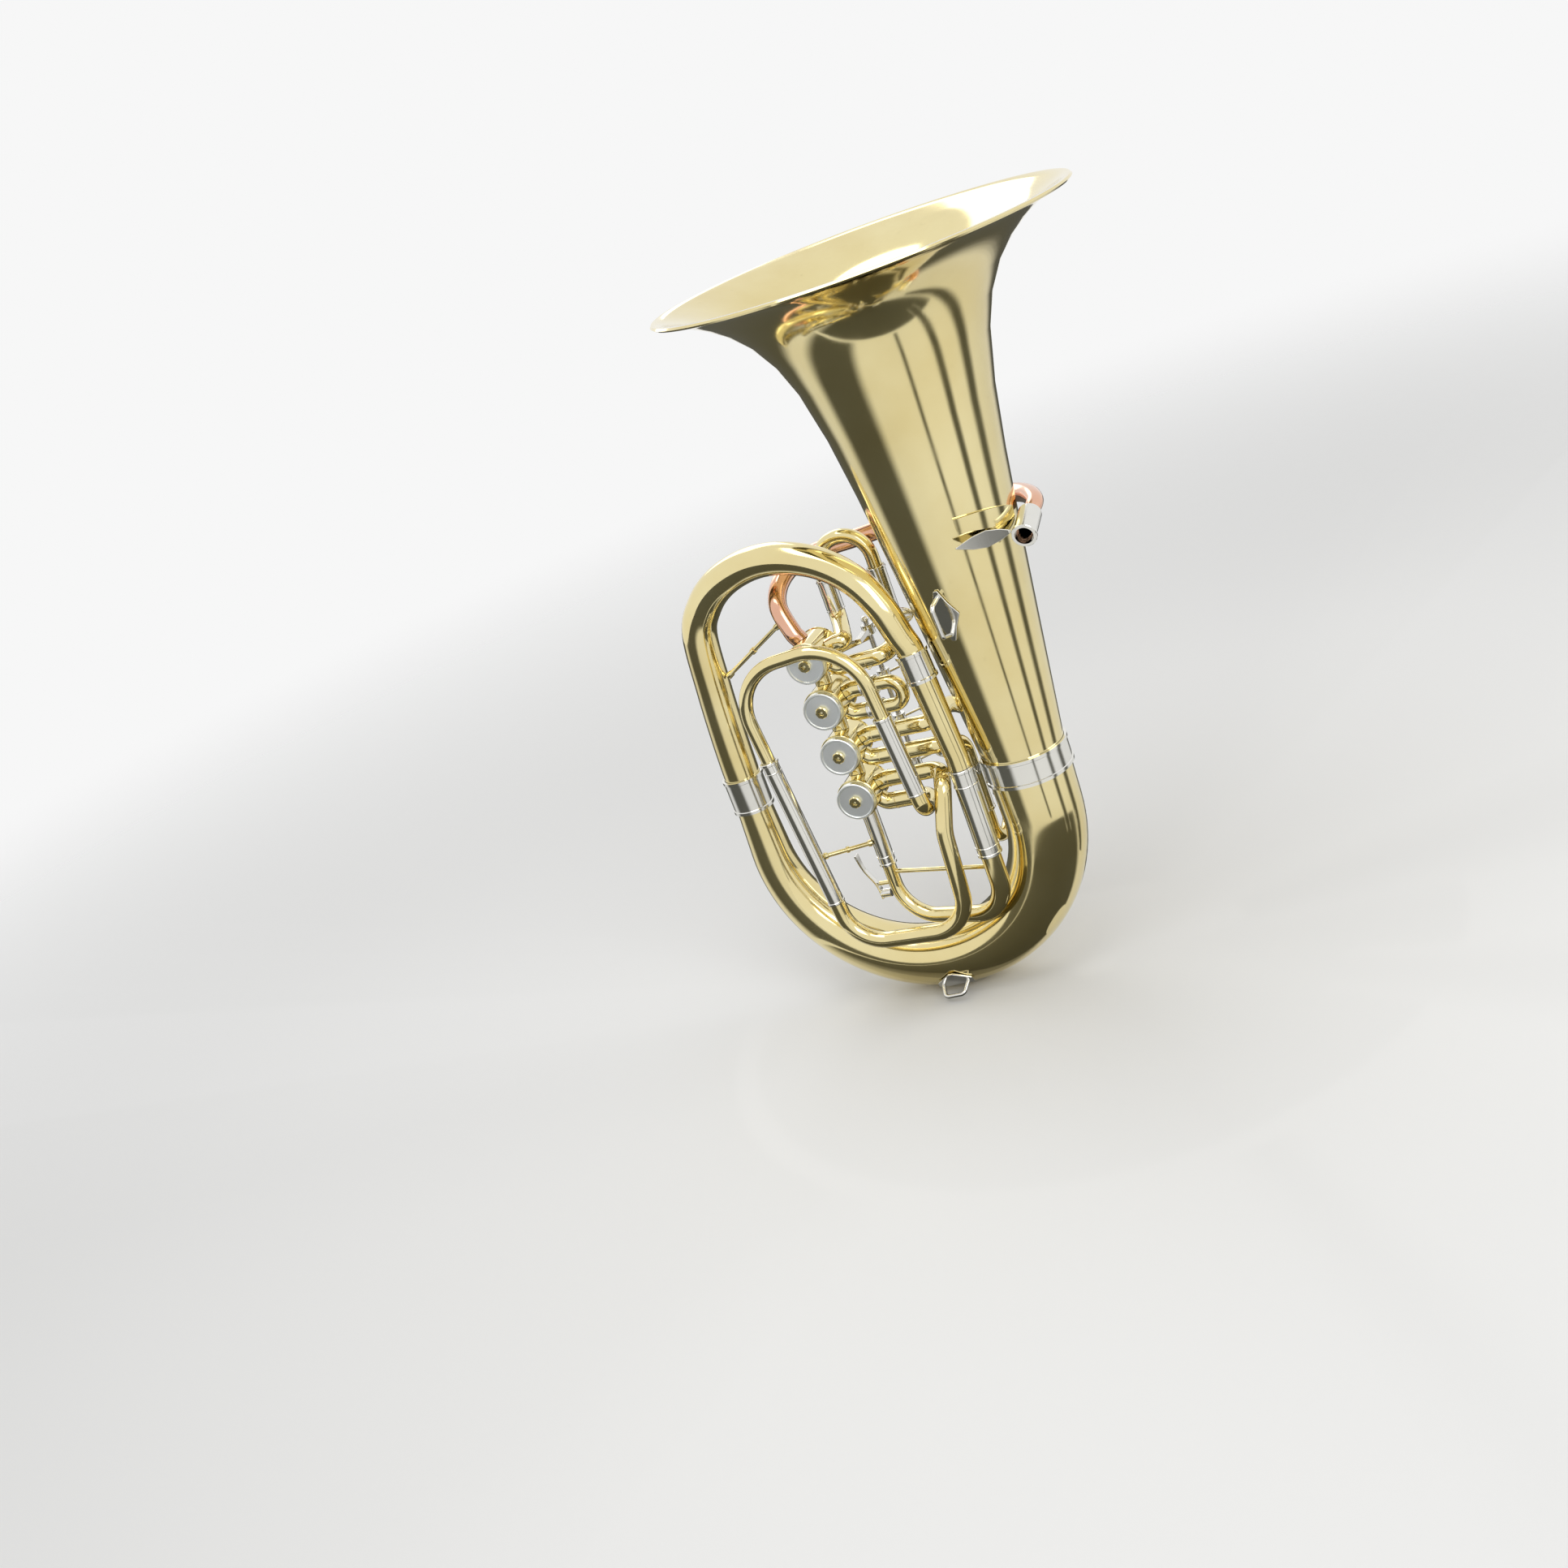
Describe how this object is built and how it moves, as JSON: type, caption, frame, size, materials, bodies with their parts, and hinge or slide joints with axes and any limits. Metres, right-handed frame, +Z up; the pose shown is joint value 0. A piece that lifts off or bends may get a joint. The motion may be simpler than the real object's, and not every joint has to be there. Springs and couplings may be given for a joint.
{
  "type": "euphonium",
  "caption": "Oval brass euphonium with rotary valves, lever action, pull slides, a copper leadpipe and an upright flared bell.",
  "frame": {"origin": "middle of the bounding box at the foot of the bottom bow", "axes": "+Z up along the bell axis, +X from the valves towards the bell, +Y away from the valve caps"},
  "size_m": [0.3988, 0.3, 0.572],
  "materials": {
    "brass": "clear lacquered yellow brass, polished",
    "nickel": "polished nickel silver",
    "copper": "clear lacquered copper-rich brass, polished",
    "steel": "plain steel"
  },
  "bodies": {
    "horn": {"bell": "brass", "bell_ferrule": "nickel", "bottom_bow": "brass", "left_ferrule": "nickel", "top_bow": "brass", "branch_ferrule": "nickel", "tapered_branch": "brass", "main_sleeve_right": "nickel", "main_sleeve_left": "nickel", "leadpipe": "copper", "receiver": "nickel", "receiver_saddle": "brass", "receiver_leaf": "nickel", "leadpipe_brace": "brass", "lever_axle": "steel", "first_sleeve_left": "brass", "first_sleeve_right": "brass", "second_sleeve_upper": "brass", "second_sleeve_lower": "brass", "third_sleeve_near": "brass", "third_sleeve_far": "brass", "fourth_sleeve_left": "nickel", "fourth_sleeve_right": "brass", "fourth_lower_bow": "brass", "fourth_brace": "brass", "upper_strap_ring": "nickel", "lower_strap_ring": "nickel", "valve_casing_1": "brass", "valve_casing_2": "brass", "valve_casing_3": "brass", "valve_casing_4": "brass", "valve_cap_1": "nickel", "valve_cap_2": "nickel", "valve_cap_3": "nickel", "valve_cap_4": "nickel", "valve_link_12": "brass", "valve_link_23": "brass", "valve_link_34": "brass"},
    "main_slide": {"main_slide": "brass"},
    "first_slide": {"first_slide": "brass"},
    "second_slide": {"second_slide": "brass"},
    "third_slide": {"third_slide": "brass"},
    "fourth_slide": {"fourth_slide": "brass"},
    "lever_1": {"lever_1": "nickel"},
    "link_1": {"link_1": "steel"},
    "rotor_1": {"valve_rotor_1": "nickel", "stop_arm_1": "steel"},
    "lever_2": {"lever_2": "nickel"},
    "link_2": {"link_2": "steel"},
    "rotor_2": {"valve_rotor_2": "nickel", "stop_arm_2": "steel"},
    "lever_3": {"lever_3": "nickel"},
    "link_3": {"link_3": "steel"},
    "rotor_3": {"valve_rotor_3": "nickel", "stop_arm_3": "steel"},
    "lever_4": {"lever_4": "nickel"},
    "link_4": {"link_4": "steel"},
    "rotor_4": {"valve_rotor_4": "nickel", "stop_arm_4": "steel"},
    "water_key": {"water_key": "nickel"}
  },
  "joints": [
    {"name": "main_slide_pull", "type": "slide", "parent": "horn", "child": "main_slide", "axis": [0, 0, -1], "range_m": [0, 0.008]},
    {"name": "first_slide_pull", "type": "slide", "parent": "horn", "child": "first_slide", "axis": [0, 0, 1], "range_m": [0, 0.015]},
    {"name": "second_slide_pull", "type": "slide", "parent": "horn", "child": "second_slide", "axis": [1, 0, 0], "range_m": [0, 0.01]},
    {"name": "third_slide_pull", "type": "slide", "parent": "horn", "child": "third_slide", "axis": [0, 0, -1], "range_m": [0, 0.015]},
    {"name": "fourth_slide_pull", "type": "slide", "parent": "horn", "child": "fourth_slide", "axis": [-0.0872, 0, 0.9962], "range_m": [0, 0.035]},
    {"name": "lever_1_press", "type": "hinge", "parent": "horn", "child": "lever_1", "pos_m": [-0.05058, 0.032, 0.29678], "axis": [0, 0, 1], "range_deg": [-22.5, 0], "stiffness_Nm_per_rad": 0.4, "springref_deg": 5.73},
    {"name": "link_1_pivot", "type": "hinge", "parent": "lever_1", "child": "link_1", "pos_m": [-0.05058, 0.0083, 0.29678], "axis": [0, 0, 1], "range_deg": [0, 22.5]},
    {"name": "rotor_1_turn", "type": "hinge", "parent": "horn", "child": "rotor_1", "pos_m": [-0.07908, -0.015, 0.3013], "axis": [0, 1, 0], "range_deg": [0, 90]},
    {"name": "lever_2_press", "type": "hinge", "parent": "horn", "child": "lever_2", "pos_m": [-0.05058, 0.032, 0.25838], "axis": [0, 0, 1], "range_deg": [-22.5, 0], "stiffness_Nm_per_rad": 0.4, "springref_deg": 5.73},
    {"name": "link_2_pivot", "type": "hinge", "parent": "lever_2", "child": "link_2", "pos_m": [-0.05058, 0.0083, 0.25838], "axis": [0, 0, 1], "range_deg": [0, 22.5]},
    {"name": "rotor_2_turn", "type": "hinge", "parent": "horn", "child": "rotor_2", "pos_m": [-0.07908, -0.015, 0.2629], "axis": [0, 1, 0], "range_deg": [0, 90]},
    {"name": "lever_3_press", "type": "hinge", "parent": "horn", "child": "lever_3", "pos_m": [-0.05058, 0.032, 0.21998], "axis": [0, 0, 1], "range_deg": [-22.5, 0], "stiffness_Nm_per_rad": 0.4, "springref_deg": 5.73},
    {"name": "link_3_pivot", "type": "hinge", "parent": "lever_3", "child": "link_3", "pos_m": [-0.05058, 0.0083, 0.21998], "axis": [0, 0, 1], "range_deg": [0, 22.5]},
    {"name": "rotor_3_turn", "type": "hinge", "parent": "horn", "child": "rotor_3", "pos_m": [-0.07908, -0.015, 0.2245], "axis": [0, 1, 0], "range_deg": [0, 90]},
    {"name": "lever_4_press", "type": "hinge", "parent": "horn", "child": "lever_4", "pos_m": [-0.05058, 0.032, 0.18157], "axis": [0, 0, 1], "range_deg": [-22.5, 0], "stiffness_Nm_per_rad": 0.4, "springref_deg": 5.73},
    {"name": "link_4_pivot", "type": "hinge", "parent": "lever_4", "child": "link_4", "pos_m": [-0.05058, 0.0083, 0.18157], "axis": [0, 0, 1], "range_deg": [0, 22.5]},
    {"name": "rotor_4_turn", "type": "hinge", "parent": "horn", "child": "rotor_4", "pos_m": [-0.07908, -0.015, 0.1861], "axis": [0, 1, 0], "range_deg": [0, 90]},
    {"name": "water_key_press", "type": "hinge", "parent": "main_slide", "child": "water_key", "pos_m": [-0.09657, -0.015, 0.104], "axis": [0, 1, 0], "range_deg": [0, 15], "stiffness_Nm_per_rad": 0.2, "springref_deg": -5.73}
  ],
  "couplings": [
    {"joint": "link_1_pivot", "follows": "lever_1_press", "ratio": -1},
    {"joint": "rotor_1_turn", "follows": "lever_1_press", "ratio": -4},
    {"joint": "link_2_pivot", "follows": "lever_2_press", "ratio": -1},
    {"joint": "rotor_2_turn", "follows": "lever_2_press", "ratio": -4},
    {"joint": "link_3_pivot", "follows": "lever_3_press", "ratio": -1},
    {"joint": "rotor_3_turn", "follows": "lever_3_press", "ratio": -4},
    {"joint": "link_4_pivot", "follows": "lever_4_press", "ratio": -1},
    {"joint": "rotor_4_turn", "follows": "lever_4_press", "ratio": -4}
  ]
}
